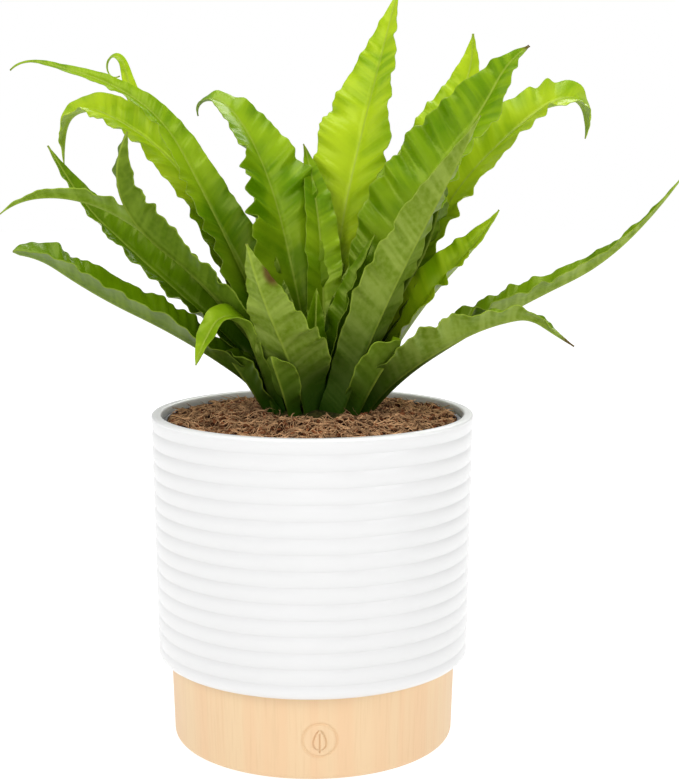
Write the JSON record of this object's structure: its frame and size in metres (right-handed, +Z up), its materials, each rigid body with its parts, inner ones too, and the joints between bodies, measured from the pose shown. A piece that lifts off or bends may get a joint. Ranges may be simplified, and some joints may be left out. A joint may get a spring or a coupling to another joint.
{
  "type": "potted fern",
  "caption": "Fern with long ruffled strap-like fronds in a round white ribbed cover pot on a tan cup-shaped foot.",
  "frame": {"origin": "centre of the foot's flat underside", "axes": "+Z up; -Y is the front, with the round mark; +X to the right seen from the front"},
  "size_m": [0.3441, 0.2073, 0.3895],
  "materials": {
    "foot": "smooth pale wood look",
    "cover_pot": "satin white",
    "grower_pot": "black",
    "potting_mix": "rough loose",
    "coir": "rough fibrous",
    "crown": "rough",
    "frond": "glossy upper face"
  },
  "bodies": {
    "root": {"foot": "foot", "cover_pot": "cover_pot", "grower_pot": "grower_pot", "potting_mix": "potting_mix", "coir_top": "coir", "crown": "crown", "frond_left_long": "frond", "frond_left_back": "frond", "frond_left_hook": "frond", "frond_left_upright": "frond", "frond_left_arch": "frond", "frond_left_mid": "frond", "frond_left_low": "frond", "frond_left_nod": "frond", "frond_front_pale": "frond", "frond_back_hook": "frond", "frond_back_narrow": "frond", "frond_back_tall": "frond", "frond_back_right": "frond", "frond_right_big": "frond", "frond_right_hook": "frond", "frond_front_broad": "frond", "frond_right_curl": "frond", "frond_right_fork": "frond", "frond_right_long": "frond", "frond_right_dip": "frond", "frond_base_stalk": "frond", "frond_base_round": "frond", "frond_base_low": "frond", "frond_young_right": "frond", "frond_young_front": "frond", "frond_rear_left": "frond", "frond_rear_steep_left": "frond", "frond_rear_low": "frond", "frond_rear_steep_right": "frond", "frond_rear_right": "frond"}
  },
  "joints": []
}
